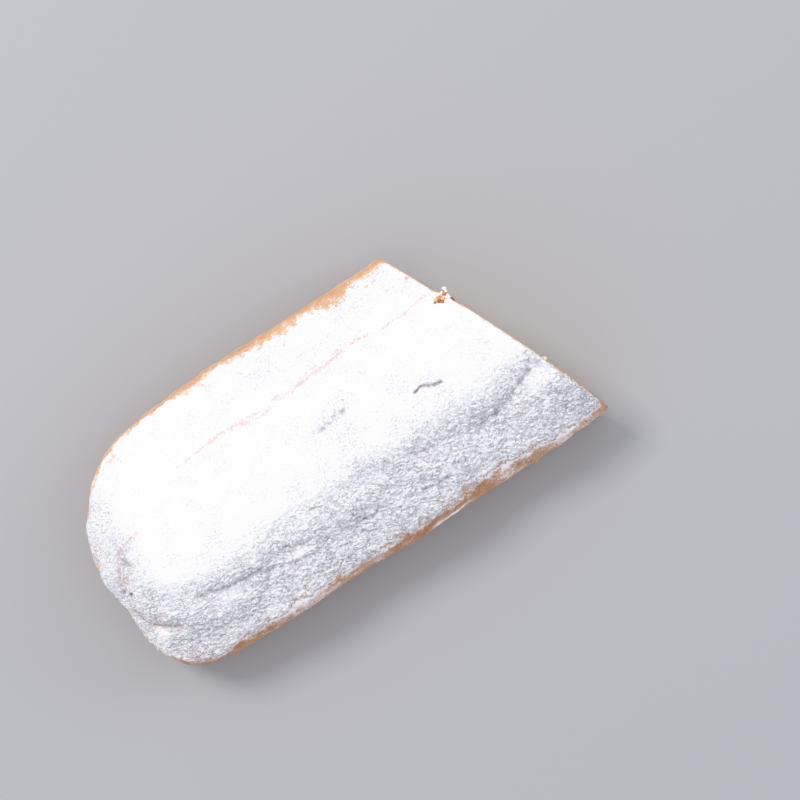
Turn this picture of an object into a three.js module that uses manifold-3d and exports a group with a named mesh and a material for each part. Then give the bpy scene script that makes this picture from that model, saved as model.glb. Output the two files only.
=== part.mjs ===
// A Christmas stollen, cut across near one end: a folded, baked loaf under a coat of icing sugar, with the
// dried fruit, candied peel and almonds that the knife went through set in the cut face.
//
// Millimetres. +X runs along the loaf towards the cut end, +Y towards the low lip that the folded dough
// leaves free, +Z is up, and the origin is on the resting plane under the middle of the loaf.

import * as THREE from "three";
import { mergeVertices } from "three/addons/utils/BufferGeometryUtils.js";
import Module from "manifold-3d";

const wasm = await Module();
wasm.setup();

// ---------------------------------------------------------------- driving dimensions

const LENGTH = 248; // from the far end to the longer corner of the cut
const WIDTH = 124.4; // crust to crust, near the cut
const HEIGHT = 60; // crown of the crust above the resting plane
const BELLY_HEIGHT = 21.5; // where the sides stand out furthest
const FAR_NARROWING = 0.095; // how much narrower the fold's side is at the far end
const NARROWING_REACH = 165; // how far from there it has its full width
const LIP_BULGE = { height: 2.7, at: -24, reach: 42 }; // how far the lip swells out, and where along X
const CUT_SKEW = THREE.MathUtils.degToRad(22.9); // the knife's angle to a square cut
const CUT_LEAN = THREE.MathUtils.degToRad(3.8); // how far the knife leans out towards the crown
const COAT_ON_CROWN = 1.5; // thickness of the icing sugar
const COAT_AT_EDGE = 0.6; // its thickness at its lower edge
const COAT_THINS = { from: 52, to: 30 }; // heights between which it thins
const GAP = 0.3; // left between pieces that touch

const HALF_LENGTH = LENGTH / 2;
const HALF_WIDTH = WIDTH / 2;
const OVERRUN = 12; // the uncut loaf runs this far past the cut, and is then cut

// The section, as shares of the half width and the height, from the resting edge of the fold's side, over
// the crown and the fold's crease, to the resting edge of the lip.
const SECTION = [
  [-0.89, 0.0],
  [-0.97, 0.06],
  [-1.0, 0.3],
  [-0.985, 0.49],
  [-0.9, 0.63],
  [-0.76, 0.715],
  [-0.6, 0.815],
  [-0.45, 0.89],
  [-0.29, 0.948],
  [-0.12, 0.985],
  [0.06, 0.998],
  [0.22, 0.987],
  [0.35, 0.945],
  [0.44, 0.875],
  [0.505, 0.8],
  [0.555, 0.752],
  [0.63, 0.742],
  [0.76, 0.728],
  [0.88, 0.69],
  [0.96, 0.6],
  [0.995, 0.42],
  [0.998, 0.24],
  [0.965, 0.05],
  [0.89, 0.0],
];
const STEPS_PER_SPAN = 2; // columns of the mesh between two of those points

// How far from the far end each side of the section takes to reach its full size, and how square the end
// is: 2 is an ellipse.
const FAR_END = {
  lip: { reach: 52, squareness: 2.0 },
  fold: { reach: 38, squareness: 3.05 },
  crown: { reach: 52, squareness: 2.3 },
};
const FAR_TUCK = { depth: 5, reach: 30 }; // how far the far end's foot is set back under its belly, fading along X
const END_STATIONS = 10; // sections along the rounded far end
const BODY_STATIONS = 25; // sections from there to the cut

// ---------------------------------------------------------------- relief of the crust

// The crease where the fold lies on the lip, the crack round the folded nose at the far end, and two long
// hollows in the fold's flank: a line in plan, the depth, and the distance in which it fades.
const HOLLOWS = [
  { line: [[-94, 18.5], [-82, 27], [-64, 31.5], [30, 33.5], [96, 32.5]], depth: 1.1, fade: 3 },
  { line: [[-90, 20], [-101, 19.5], [-111, 14], [-116.5, 4], [-119, -5]], depth: 1.8, fade: 3.2 },
  { line: [[-119, -5], [-121, -12], [-116.5, -22], [-103, -30]], depth: 1.8, fade: 3.2 },
  { line: [[-98, -20], [-74, -27], [-46, -34], [-18, -39.5], [8, -36]], depth: 0.8, fade: 5 },
  { line: [[-34, -20], [14, -22], [46, -29.5], [72, -33], [92, -29], [112, -21.5]], depth: 1.6, fade: 5 },
];

// Lumps that the fruit and the folded nose raise in the crust: place in plan, radius and height.
const LUMPS = [
  { x: -104, y: -6, radius: 11, height: 1.8 },
  { x: -105, y: -18, radius: 9, height: 1 },
  { x: -121, y: 12, radius: 8, height: 1.2 },
  { x: -119, y: -31, radius: 9, height: 1.4 },
  { x: 11, y: 15, radius: 11, height: 1.7 },
  { x: 41, y: 11, radius: 9, height: 1.1 },
  { x: 60, y: 2, radius: 9, height: 1.7 },
  { x: 107, y: -33, radius: 12, height: 2.4 },
  { x: -18, y: -27, radius: 13, height: 0.6 },
  { x: -60, y: -21, radius: 12, height: 1.2 },
  { x: -75, y: -41, radius: 12, height: 1.1 },
  { x: 40, y: -43, radius: 13, height: 1.2 },
];

// Gentle waves all over, each finer and lower than the last, at turning angles.
const WAVES = { count: 6, longest: 74, height: 0.75, ratio: 0.72, turn: 2.4, lean: 0.7 };

// The relief grows from nothing to full between these heights, so that the foot stays plain.
const RELIEF_GROWS = { from: 8, to: 40 };

const { clamp, degToRad, smoothstep } = THREE.MathUtils;
const bell = (distance, radius) => Math.exp(-((distance / radius) ** 2));

function waves({ x, y, z }) {
  let sum = 0;
  for (let i = 0; i < WAVES.count; i++) {
    const shrink = WAVES.ratio ** i;
    const angle = WAVES.turn * i;
    const along = x * Math.cos(angle) + (y + WAVES.lean * z) * Math.sin(angle);
    const phase = (2 * Math.PI * along) / (WAVES.longest * shrink) + angle * angle;
    sum += WAVES.height * shrink * Math.sin(phase);
  }
  return sum;
}

// Distance in plan from (x, y) to a broken line.
function distanceToLine(x, y, line) {
  let least = Infinity;
  for (let i = 1; i < line.length; i++) {
    const [ax, ay] = line[i - 1];
    const [bx, by] = line[i];
    const lengthSquared = (bx - ax) ** 2 + (by - ay) ** 2;
    const t = clamp(((x - ax) * (bx - ax) + (y - ay) * (by - ay)) / lengthSquared, 0, 1);
    least = Math.min(least, Math.hypot(x - ax - t * (bx - ax), y - ay - t * (by - ay)));
  }
  return least;
}

// How far the crust stands off the plain form at a point of it.
function relief(point) {
  const { x, y, z } = point;
  let height = waves(point);
  for (const { line, depth, fade } of HOLLOWS) {
    height -= depth * bell(distanceToLine(x, y, line), fade);
  }
  for (const lump of LUMPS) {
    height += lump.height * bell(Math.hypot(x - lump.x, y - lump.y), lump.radius);
  }
  return height * smoothstep(z, RELIEF_GROWS.from, RELIEF_GROWS.to);
}

// ---------------------------------------------------------------- the loaf's form

// The section as a run of points, in shares, smoothed by a Catmull-Rom curve.
function sectionShares() {
  const control = SECTION.map(([across, up]) => new THREE.Vector3(across, up, 0));
  const curve = new THREE.CatmullRomCurve3(control, false, "catmullrom", 0.5);
  return curve.getPoints((SECTION.length - 1) * STEPS_PER_SPAN);
}

// The share of its full size that one side of the section has at a distance from the far end.
function grown(distance, { reach, squareness }) {
  const left = 1 - Math.min(1, distance / reach);
  return (1 - left ** squareness) ** (1 / squareness);
}

// Distances of the sections from the far end: turning round the end, then even.
function stationDistances() {
  const { reach } = FAR_END.crown;
  const distances = [];
  for (let i = 1; i <= END_STATIONS; i++) {
    const turned = ((Math.PI / 2) * i) / END_STATIONS;
    distances.push(reach * (1 - Math.cos(turned)));
  }
  const rest = LENGTH + OVERRUN - reach;
  for (let i = 1; i <= BODY_STATIONS; i++) {
    distances.push(reach + (rest * i) / BODY_STATIONS);
  }
  return distances;
}

function placeSection(shares, distance) {
  const along = distance - HALF_LENGTH;
  const narrowing = FAR_NARROWING * Math.max(0, 1 - distance / NARROWING_REACH);
  const bulge = LIP_BULGE.height * bell(along - LIP_BULGE.at, LIP_BULGE.reach);
  const lip = grown(distance, FAR_END.lip) * (1 + bulge / HALF_WIDTH);
  const fold = grown(distance, FAR_END.fold) * (1 - narrowing);
  const crown = grown(distance, FAR_END.crown);
  const tuck = FAR_TUCK.depth * (1 - smoothstep(distance, 0, FAR_TUCK.reach));
  return shares.map(({ x: across, y: up }) => {
    const overBelly = up * HEIGHT - BELLY_HEIGHT;
    return new THREE.Vector3(
      along + tuck * Math.max(0, -overBelly / BELLY_HEIGHT),
      HALF_WIDTH * across * (across > 0 ? lip : fold),
      BELLY_HEIGHT + overBelly * (overBelly > 0 ? crown : 1),
    );
  });
}

// Outward direction of the plain form at section i, column j, from the points about it.
function outward(rows, i, j) {
  const row = rows[i];
  const nextColumn = row[Math.min(j + 1, row.length - 1)];
  const across = new THREE.Vector3().subVectors(nextColumn, row[Math.max(j - 1, 0)]);
  const nearer = i > 0 ? rows[i - 1][j] : new THREE.Vector3(-HALF_LENGTH, 0, BELLY_HEIGHT);
  const further = rows[Math.min(i + 1, rows.length - 1)][j];
  const along = new THREE.Vector3().subVectors(further, nearer);
  return along.cross(across).normalize();
}

// The uncut loaf as a solid, its skin moved out by a margin that may depend on the height. Its resting face
// stays where it is.
function uncutLoaf(margin) {
  const shares = sectionShares();
  const rows = stationDistances().map((distance) => placeSection(shares, distance));
  const columns = shares.length;
  const points = [new THREE.Vector3(-HALF_LENGTH - margin(BELLY_HEIGHT), 0, BELLY_HEIGHT)];
  rows.forEach((row, i) => {
    row.forEach((point, j) => {
      const resting = j === 0 || j === columns - 1;
      const direction = outward(rows, i, j);
      if (resting) direction.z = 0;
      const distance = margin(point.z) + (resting ? 0 : relief(point));
      points.push(point.clone().addScaledVector(direction, distance));
    });
  });
  points.push(new THREE.Vector3(HALF_LENGTH + OVERRUN, 0, BELLY_HEIGHT));

  const at = (i, j) => 1 + i * columns + (j % columns);
  const faces = [];
  for (let j = 0; j < columns; j++) {
    faces.push(0, at(0, j), at(0, j + 1));
    for (let i = 0; i + 1 < rows.length; i++) {
      faces.push(at(i, j), at(i + 1, j), at(i + 1, j + 1));
      faces.push(at(i, j), at(i + 1, j + 1), at(i, j + 1));
    }
    faces.push(points.length - 1, at(rows.length - 1, j + 1), at(rows.length - 1, j));
  }
  return toSolid(new THREE.BufferGeometry().setFromPoints(points).setIndex(faces));
}

// ---------------------------------------------------------------- solids from and to geometry

const WELD = 1e-4; // points nearer than this are one

function toSolid(geometry) {
  const bare = new THREE.BufferGeometry();
  bare.setAttribute("position", geometry.getAttribute("position"));
  bare.setIndex(geometry.getIndex());
  const welded = mergeVertices(bare, WELD);
  return new wasm.Manifold(
    new wasm.Mesh({
      numProp: 3,
      vertProperties: new Float32Array(welded.attributes.position.array),
      triVerts: new Uint32Array(welded.index.array),
    }),
  );
}

function toGeometry(solid) {
  const mesh = solid.getMesh();
  const geometry = new THREE.BufferGeometry();
  geometry.setAttribute("position", new THREE.BufferAttribute(mesh.vertProperties, 3));
  geometry.setIndex(new THREE.BufferAttribute(mesh.triVerts, 1));
  geometry.computeVertexNormals();
  return geometry;
}

// ---------------------------------------------------------------- the cut

// The cut face's own frame: origin at the foot of the lip's side of the cut, X along the cut away from the
// fold's side, Y up the face and Z out of the loaf.
const CUT_FOOT = 1.4; // how far short of the full length the cut is at its foot
const CUT_LIP_X = HALF_LENGTH - CUT_FOOT - WIDTH * Math.tan(CUT_SKEW);
const faceFrame = new THREE.Matrix4()
  .makeBasis(
    new THREE.Vector3(-Math.sin(CUT_SKEW), Math.cos(CUT_SKEW), 0),
    new THREE.Vector3(0, 0, 1),
    new THREE.Vector3(Math.cos(CUT_SKEW), Math.sin(CUT_SKEW), 0),
  )
  .multiply(new THREE.Matrix4().makeRotationX(CUT_LEAN))
  .setPosition(CUT_LIP_X, HALF_WIDTH, 0);

// Everything on the far side of the knife.
function beyondCut() {
  const size = 2 * LENGTH;
  const box = new THREE.BoxGeometry(size, size, size).translate(0, 0, size / 2);
  return toSolid(box.applyMatrix4(faceFrame));
}

// ---------------------------------------------------------------- the fruit in the cut face

// Colour, shine and form of each kind. Boxy is 2 for a round piece and more for a square one, and point
// draws both ends of a long one in.
const KINDS = {
  sultana: { color: 0xbd662e, roughness: 0.35, boxy: 2.1, point: 0.25 },
  raisin: { color: 0x572117, roughness: 0.45, boxy: 2.3, point: 0.1 },
  orange_peel: { color: 0xf08c2b, roughness: 0.3, boxy: 3, point: 0 },
  lemon_peel: { color: 0xf2c452, roughness: 0.35, boxy: 3.6, point: 0 },
  almond: { color: 0xeddbad, roughness: 0.6, boxy: 2, point: 0.35 },
};

// Each piece's kind, the place of its middle (across the face from the lip's side, and up), its length and
// thickness, and how many degrees it rises towards the fold's side.
const FRUIT = [
  ["raisin", 9, 12.5, 14.3, 11.3, 72],
  ["raisin", 21.1, 5.3, 14.3, 6.3, -6],
  ["raisin", 44, 50.6, 13.3, 5.3, 14],
  ["raisin", 88.9, 49.2, 6.1, 3.5, 70],
  ["raisin", 103.4, 4.7, 7.6, 5.3, 10],
  ["sultana", 9.6, 25, 5.3, 3.9, 80],
  ["sultana", 19.4, 28.4, 8.4, 6.8, 10],
  ["sultana", 29.5, 17.4, 7, 5.1, 15],
  ["sultana", 45.5, 20.8, 12.8, 5.9, 18],
  ["sultana", 54.7, 13.2, 17.4, 8, 8],
  ["sultana", 64.3, 22.8, 16.4, 7.4, -3],
  ["sultana", 75.8, 46.7, 14.8, 7.6, -84],
  ["sultana", 94.6, 40.6, 16, 8, 33],
  ["sultana", 101.8, 29.1, 17.4, 7, -24],
  ["sultana", 116.1, 29.1, 6.6, 3.7, 85],
  ["orange_peel", 37.9, 43, 9.8, 5.5, -30],
  ["orange_peel", 42, 28.9, 14.8, 7.2, -6],
  ["orange_peel", 83.4, 45.7, 8.8, 4.3, -78],
  ["orange_peel", 114.7, 17, 13.3, 8.2, -38],
  ["lemon_peel", 18, 20.7, 6.1, 4.9, 5],
  ["lemon_peel", 75, 33, 3.9, 3.5, 0],
  ["lemon_peel", 78.6, 9.2, 6.1, 5.3, 75],
  ["lemon_peel", 109.6, 37.5, 5.9, 5.1, 20],
  ["almond", 51.7, 40.1, 20, 8.4, -34],
  ["almond", 93.2, 12.7, 11.8, 3.9, -6],
];
const FRUIT_SUNK = 0.12; // the middle of a piece lies this share of its thickness behind the cut
const FRUIT_DEPTH = 0.55; // and it reaches this share of its thickness further in
const FRUIT_SIDES = 10;
const FRUIT_RINGS = 6;

const superround = (value, boxy) => Math.sign(value) * Math.abs(value) ** (2 / boxy);

// One whole piece before the knife, grown by a margin, placed in the face.
function wholeFruit([kind, across, up, length, thickness, rise], margin) {
  const { boxy, point } = KINDS[kind];
  const geometry = new THREE.SphereGeometry(1, FRUIT_SIDES, FRUIT_RINGS).rotateZ(Math.PI / 2);
  const places = geometry.getAttribute("position");
  for (let i = 0; i < places.count; i++) {
    const x = superround(places.getX(i), boxy);
    const slim = 1 - point * x * x;
    const y = superround(places.getY(i), boxy) * slim;
    const z = superround(places.getZ(i), boxy) * slim;
    const depth = thickness * FRUIT_DEPTH + margin;
    places.setXYZ(i, x * (length / 2 + margin), y * (thickness / 2 + margin), z * depth);
  }
  geometry.rotateZ(degToRad(-rise));
  geometry.translate(-across, up, -FRUIT_SUNK * thickness);
  return toSolid(geometry.applyMatrix4(faceFrame));
}

// ---------------------------------------------------------------- the coat's lower edge

// The coat ends part way down the sides, and lower round the far end. Each side has the height of its edge,
// and a stretch along X where the crust shows bare to a greater height. Ripples, so many to the turn, make
// it ragged all round.
const COAT_EDGE = {
  lip: { height: 37, bareAt: 50, bareReach: 24, bareRise: 3.2 },
  fold: { height: 34, bareAt: 40, bareReach: 50, bareRise: 3 },
  far: { at: -124, reach: 30, drop: 7.5 },
  ragged: 1.2,
  ripples: [5, 13, 29],
};
const EDGE_STEPS = 80;
const EDGE_RING = { inner: 0.5, outer: 1.5, floor: -5 }; // shares of the half sizes, and a height

function coatEdgeHeight(angle, x) {
  const sideHeight = (side) => side.height + side.bareRise * bell(x - side.bareAt, side.bareReach);
  const lip = sideHeight(COAT_EDGE.lip);
  const fold = sideHeight(COAT_EDGE.fold);
  const ripple = (sum, turns, i) => sum + Math.sin(turns * angle + 2 * i) / (1 + i / 2);
  const lipShare = smoothstep(Math.sin(angle), -0.3, 0.3);
  const drop = COAT_EDGE.far.drop * bell(x - COAT_EDGE.far.at, COAT_EDGE.far.reach);
  return fold + (lip - fold) * lipShare - drop + COAT_EDGE.ragged * COAT_EDGE.ripples.reduce(ripple, 0);
}

// A ring about the loaf, up to that edge, from well inside its skin to well outside it.
function belowCoat() {
  const { inner, outer, floor } = EDGE_RING;
  const corners = 4;
  const points = [];
  for (let i = 0; i < EDGE_STEPS; i++) {
    const angle = (2 * Math.PI * i) / EDGE_STEPS;
    const x = HALF_LENGTH * Math.cos(angle);
    const y = HALF_WIDTH * Math.sin(angle);
    const top = coatEdgeHeight(angle, x);
    points.push(
      new THREE.Vector3(x * inner, y * inner, floor),
      new THREE.Vector3(x * outer, y * outer, floor),
      new THREE.Vector3(x * outer, y * outer, top),
      new THREE.Vector3(x * inner, y * inner, top),
    );
  }
  const at = (i, k) => corners * (i % EDGE_STEPS) + (k % corners);
  const faces = [];
  for (let i = 0; i < EDGE_STEPS; i++) {
    for (let k = 0; k < corners; k++) {
      faces.push(at(i, k), at(i + 1, k + 1), at(i, k + 1));
      faces.push(at(i, k), at(i + 1, k), at(i + 1, k + 1));
    }
  }
  return toSolid(new THREE.BufferGeometry().setFromPoints(points).setIndex(faces));
}

// ---------------------------------------------------------------- the pieces

const stollen = new THREE.Group();

function addPiece(name, solid, { color, roughness }) {
  const material = new THREE.MeshStandardMaterial({ color, roughness, metalness: 0 });
  const mesh = new THREE.Mesh(toGeometry(solid), material);
  mesh.name = name;
  stollen.add(mesh);
}

const offcut = beyondCut();
let loaf = uncutLoaf(() => 0).subtract(offcut);
for (const fruit of FRUIT) {
  loaf = loaf.subtract(wholeFruit(fruit, GAP));
}
addPiece("loaf", loaf, { color: 0xd79f61, roughness: 0.85 });

function coatMargin(z) {
  const full = smoothstep(z, COAT_THINS.to, COAT_THINS.from);
  return GAP + COAT_AT_EDGE + (COAT_ON_CROWN - COAT_AT_EDGE) * full;
}
const coat = uncutLoaf(coatMargin)
  .subtract(uncutLoaf(() => GAP))
  .subtract(offcut)
  .subtract(belowCoat());
addPiece("icing_sugar", coat, { color: 0xf8f8fa, roughness: 0.95 });

const made = {};
for (const fruit of FRUIT) {
  const [kind] = fruit;
  made[kind] = (made[kind] ?? 0) + 1;
  const name = `${kind}_${String(made[kind]).padStart(2, "0")}`;
  addPiece(name, wholeFruit(fruit, 0).subtract(offcut), KINDS[kind]);
}

export default stollen;
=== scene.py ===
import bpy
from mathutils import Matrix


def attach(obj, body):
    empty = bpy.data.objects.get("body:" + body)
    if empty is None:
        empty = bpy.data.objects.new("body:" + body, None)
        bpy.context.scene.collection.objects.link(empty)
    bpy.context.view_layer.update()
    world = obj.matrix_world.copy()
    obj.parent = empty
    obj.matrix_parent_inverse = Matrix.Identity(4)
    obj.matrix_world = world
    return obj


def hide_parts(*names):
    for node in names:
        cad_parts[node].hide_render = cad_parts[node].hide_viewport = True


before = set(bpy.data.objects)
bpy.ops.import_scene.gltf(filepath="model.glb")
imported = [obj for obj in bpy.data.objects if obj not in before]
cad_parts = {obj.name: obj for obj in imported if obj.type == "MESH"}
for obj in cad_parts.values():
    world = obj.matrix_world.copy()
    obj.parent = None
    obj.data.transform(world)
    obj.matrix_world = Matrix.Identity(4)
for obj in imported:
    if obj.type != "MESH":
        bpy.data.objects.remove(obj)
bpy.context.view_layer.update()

import math

import bpy
import numpy as np
from mathutils import Vector

# A cut Christmas stollen. Its form is the CAD's, from the same values in millimetres, on a finer grid. Added
# here are the powdery coat, the baked crust, the crumb's pores and the wrinkled fruit. X runs from the far
# end to the cut, +Y is the lip's side, -Y the fold's.

MM = 0.001

# ---- the CAD's dimensions

LENGTH = 248
WIDTH = 124.4
HEIGHT = 60
BELLY_HEIGHT = 21.5  # where the loaf is widest
FAR_NARROWING = 0.095
NARROWING_REACH = 165
LIP_BULGE = {"height": 2.7, "at": -24, "reach": 42}
CUT_SKEW = math.radians(22.9)
CUT_LEAN = math.radians(3.8)
CUT_FOOT = 1.4
COAT_ON_CROWN = 1.5
COAT_AT_EDGE = 0.6
COAT_THINS = (30, 52)  # heights between which the coat grows from one thickness to the other
GAP = 0.3
HALF_LENGTH = LENGTH / 2
HALF_WIDTH = WIDTH / 2
CUT_LIP_X = HALF_LENGTH - CUT_FOOT - WIDTH * math.tan(CUT_SKEW)

# the section in shares of half the width and of the height, from the fold's foot over the crown to the lip's
SECTION = [
    (-0.89, 0), (-0.97, 0.06), (-1, 0.3), (-0.985, 0.49), (-0.9, 0.63), (-0.76, 0.715),
    (-0.6, 0.815), (-0.45, 0.89), (-0.29, 0.948), (-0.12, 0.985), (0.06, 0.998), (0.22, 0.987),
    (0.35, 0.945), (0.44, 0.875), (0.505, 0.8), (0.555, 0.752), (0.63, 0.742), (0.76, 0.728),
    (0.88, 0.69), (0.96, 0.6), (0.995, 0.42), (0.998, 0.24), (0.965, 0.05), (0.89, 0),
]
FAR_END = {"lip": (52, 2), "fold": (38, 3.05), "crown": (52, 2.3)}  # reach and squareness
FAR_TUCK = {"depth": 5, "reach": 30}  # how far its foot is set back under its belly, fading along X
# line, depth, fade
HOLLOWS = [
    ([(-94, 18.5), (-82, 27), (-64, 31.5), (30, 33.5), (96, 32.5)], 1.1, 3),
    ([(-90, 20), (-101, 19.5), (-111, 14), (-116.5, 4), (-119, -5)], 1.8, 3.2),
    ([(-119, -5), (-121, -12), (-116.5, -22), (-103, -30)], 1.8, 3.2),
    ([(-98, -20), (-74, -27), (-46, -34), (-18, -39.5), (8, -36)], 0.8, 5),
    ([(-34, -20), (14, -22), (46, -29.5), (72, -33), (92, -29), (112, -21.5)], 1.6, 5),
]
# x, y, radius, height
LUMPS = [
    (-104, -6, 11, 1.8), (-105, -18, 9, 1), (-121, 12, 8, 1.2), (-119, -31, 9, 1.4), (11, 15, 11, 1.7),
    (41, 11, 9, 1.1), (60, 2, 9, 1.7), (107, -33, 12, 2.4), (-18, -27, 13, 0.6), (-60, -21, 12, 1.2),
    (-75, -41, 12, 1.1), (40, -43, 13, 1.2),
]
WAVES = {"count": 6, "longest": 74, "height": 0.75, "ratio": 0.72, "turn": 2.4, "lean": 0.7}
RELIEF_GROWS = (8, 40)
COAT_EDGE_LIP = (37, 50, 24, 3.2)  # height, and the place, reach and height of its rise
COAT_EDGE_FOLD = (34, 40, 50, 3)
COAT_EDGE_FAR = {"at": -124, "reach": 30, "drop": 7.5}
EDGE_RAGGED = 1.2
EDGE_RIPPLES = (5, 13, 29)

# kind: across the face from the lip's side, up, length, thickness, rise towards the fold in degrees
FRUIT_PLACES = {
    "raisin": [
        (9, 12.5, 14.3, 11.3, 72), (21.1, 5.3, 14.3, 6.3, -6), (44, 50.6, 13.3, 5.3, 14),
        (88.9, 49.2, 6.1, 3.5, 70), (103.4, 4.7, 7.6, 5.3, 10),
    ],
    "sultana": [
        (9.6, 25, 5.3, 3.9, 80), (19.4, 28.4, 8.4, 6.8, 10), (29.5, 17.4, 7, 5.1, 15),
        (45.5, 20.8, 12.8, 5.9, 18), (54.7, 13.2, 17.4, 8, 8), (64.3, 22.8, 16.4, 7.4, -3),
        (75.8, 46.7, 14.8, 7.6, -84), (94.6, 40.6, 16, 8, 33), (101.8, 29.1, 17.4, 7, -24),
        (116.1, 29.1, 6.6, 3.7, 85),
    ],
    "orange_peel": [
        (37.9, 43, 9.8, 5.5, -30), (42, 28.9, 14.8, 7.2, -6), (83.4, 45.7, 8.8, 4.3, -78),
        (114.7, 17, 13.3, 8.2, -38),
    ],
    "lemon_peel": [
        (18, 20.7, 6.1, 4.9, 5), (75, 33, 3.9, 3.5, 0), (78.6, 9.2, 6.1, 5.3, 75),
        (109.6, 37.5, 5.9, 5.1, 20),
    ],
    "almond": [(51.7, 40.1, 20, 8.4, -34), (93.2, 12.7, 11.8, 3.9, -6)],
}
FRUIT = [(kind, *place) for kind, places in FRUIT_PLACES.items() for place in places]
# kind: boxiness, how far the ends are pointed
FORM = {"sultana": (2.1, 0.25), "raisin": (2.3, 0.1), "orange_peel": (3, 0), "lemon_peel": (3.6, 0),
        "almond": (2, 0.35)}
FRUIT_SUNK = 0.12  # this and its depth are shares of a fruit's thickness
FRUIT_DEPTH = 0.55
FRUIT_UNDER_CRUST = 1

# ---- small tools


def smoothstep(value, low, high):
    t = np.clip((value - low) / (high - low), 0, 1)
    return t * t * (3 - 2 * t)


def bell(distance, radius):
    return np.exp(-((distance / radius) ** 2))


def distance_to_line(x, y, line):
    least = np.full(np.shape(x), np.inf)
    for (ax, ay), (bx, by) in zip(line, line[1:]):
        t = ((x - ax) * (bx - ax) + (y - ay) * (by - ay)) / ((bx - ax) ** 2 + (by - ay) ** 2)
        t = np.clip(t, 0, 1)
        least = np.minimum(least, np.hypot(x - ax - t * (bx - ax), y - ay - t * (by - ay)))
    return least


def turned(a, b, angle):
    """Places in the axes of a thing that is turned by an angle in radians."""
    c, s = math.cos(angle), math.sin(angle)
    return a * c + b * s, -a * s + b * c


def spotted(field, x, y, places, broken=1):
    """The field, raised at each place: x, y, radius and the share that it is raised to."""
    for place_x, place_y, radius, share in places:
        field = np.maximum(field, share * broken * bell(np.hypot(x - place_x, y - place_y), radius))
    return field


NOISE_TABLE = 256
NOISE_SHIFT = 17.3  # between one seed's noise and the next
noise_rng = np.random.default_rng(7)
noise_order = noise_rng.permutation(NOISE_TABLE)
noise_gradients = noise_rng.normal(size=(NOISE_TABLE, 3))
noise_gradients /= np.linalg.norm(noise_gradients, axis=1)[:, None]


def noise(points, size, seed=0):
    """Gradient noise, about -0.6 to 0.6, of points (..., 3) with lumps of that size."""
    q = np.asarray(points) / size + NOISE_SHIFT * seed
    cell = np.floor(q).astype(int)
    f = q - cell
    u = f * f * f * (f * (f * 6 - 15) + 10)
    total = np.zeros(q.shape[:-1])
    for corner in range(8):
        o = np.array([corner & 1, corner >> 1 & 1, corner >> 2 & 1])
        c = (cell + o) % NOISE_TABLE
        h = noise_order[(noise_order[c[..., 0]] + c[..., 1]) % NOISE_TABLE]
        h = noise_order[(h + c[..., 2]) % NOISE_TABLE]
        dot = np.sum(noise_gradients[h] * (f - o), axis=-1)
        total += dot * np.prod(np.where(o, u, 1 - u), axis=-1)
    return total


def noises(points, layers):
    """A sum of noises, each with its height, size and seed."""
    return sum(height * noise(points, size, seed) for height, size, seed in layers)


def placed(name, data, place=(0, 0, 0)):
    """A new object of the scene."""
    made = bpy.data.objects.new(name, data)
    bpy.context.scene.collection.objects.link(made)
    made.location = place
    return made


def new_mesh(name, points, faces, paint, smooth=True, **attributes):
    """A mesh object from millimetre points and faces of three or four corners, with a material."""
    mesh = bpy.data.meshes.new(name)
    mesh.from_pydata(np.asarray(points, dtype=float).reshape(-1, 3) * MM, [], faces)
    mesh.validate()
    mesh.polygons.foreach_set("use_smooth", np.full(len(mesh.polygons), smooth))
    for key, values in attributes.items():
        values = np.asarray(values, dtype=np.float32)
        if values.ndim == 2:
            layer = mesh.attributes.new(key, "FLOAT_COLOR", "POINT")
            layer.data.foreach_set("color", np.c_[values, np.ones(len(values))].ravel())
        else:
            layer = mesh.attributes.new(key, "FLOAT", "POINT")
            layer.data.foreach_set("value", values)
    mesh.materials.append(paint)
    return placed(name, mesh)


def grid_faces(rows, columns, wrap=False):
    """The faces of a grid of points, whose rows may close to rings."""
    i, j = np.meshgrid(np.arange(rows - 1), np.arange(columns if wrap else columns - 1), indexing="ij")
    k = (j + 1) % columns
    here, below = i * columns, (i + 1) * columns
    return np.stack([here + j, below + j, below + k, here + k], axis=-1).reshape(-1, 4)


def closed_faces(rings, sides):
    """Triangles of rings of points that two poles close, which are the last two points."""
    quads = grid_faces(rings, sides, wrap=True)
    k = np.arange(sides)
    after = (k + 1) % sides
    last, pole = (rings - 1) * sides, np.full(sides, rings * sides)
    return np.vstack([quads[:, [0, 1, 2]], quads[:, [0, 2, 3]], np.stack([pole, k, after], axis=1),
                      np.stack([pole + 1, last + after, last + k], axis=1)])


def ball(sides, rings):
    """Points of a unit ball; the last two are its poles, on X."""
    turn = np.linspace(0, 2 * math.pi, sides, endpoint=False)[None, :]
    lean = np.linspace(0, math.pi, rings + 1)[1:-1, None]
    x, out = np.cos(lean) + 0 * turn, np.sin(lean)
    points = np.stack([x, out * np.cos(turn), out * np.sin(turn)], axis=-1)
    return np.vstack([points.reshape(-1, 3), [[1, 0, 0], [-1, 0, 0]]])


# ---- the form


def section_curve(per_span=60):
    """The section in shares: a Catmull-Rom curve, tension one half, through SECTION."""
    p = np.array(SECTION)
    p = np.vstack([2 * p[0] - p[1], p, 2 * p[-1] - p[-2]])
    t = np.linspace(0, 1, per_span, endpoint=False)[:, None]
    runs = []
    for a, b, c, d in zip(p, p[1:], p[2:], p[3:]):
        m0, m1 = (c - a) / 2, (d - b) / 2
        runs.append(b + m0 * t + (3 * (c - b) - 2 * m0 - m1) * t ** 2 + (2 * (b - c) + m0 + m1) * t ** 3)
    return np.vstack(runs + [p[-2:-1]])


CURVE = section_curve()
CURVE_LENGTH = np.r_[0, np.cumsum(np.linalg.norm(np.diff(CURVE * [HALF_WIDTH, HEIGHT], axis=0), axis=1))]


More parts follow.
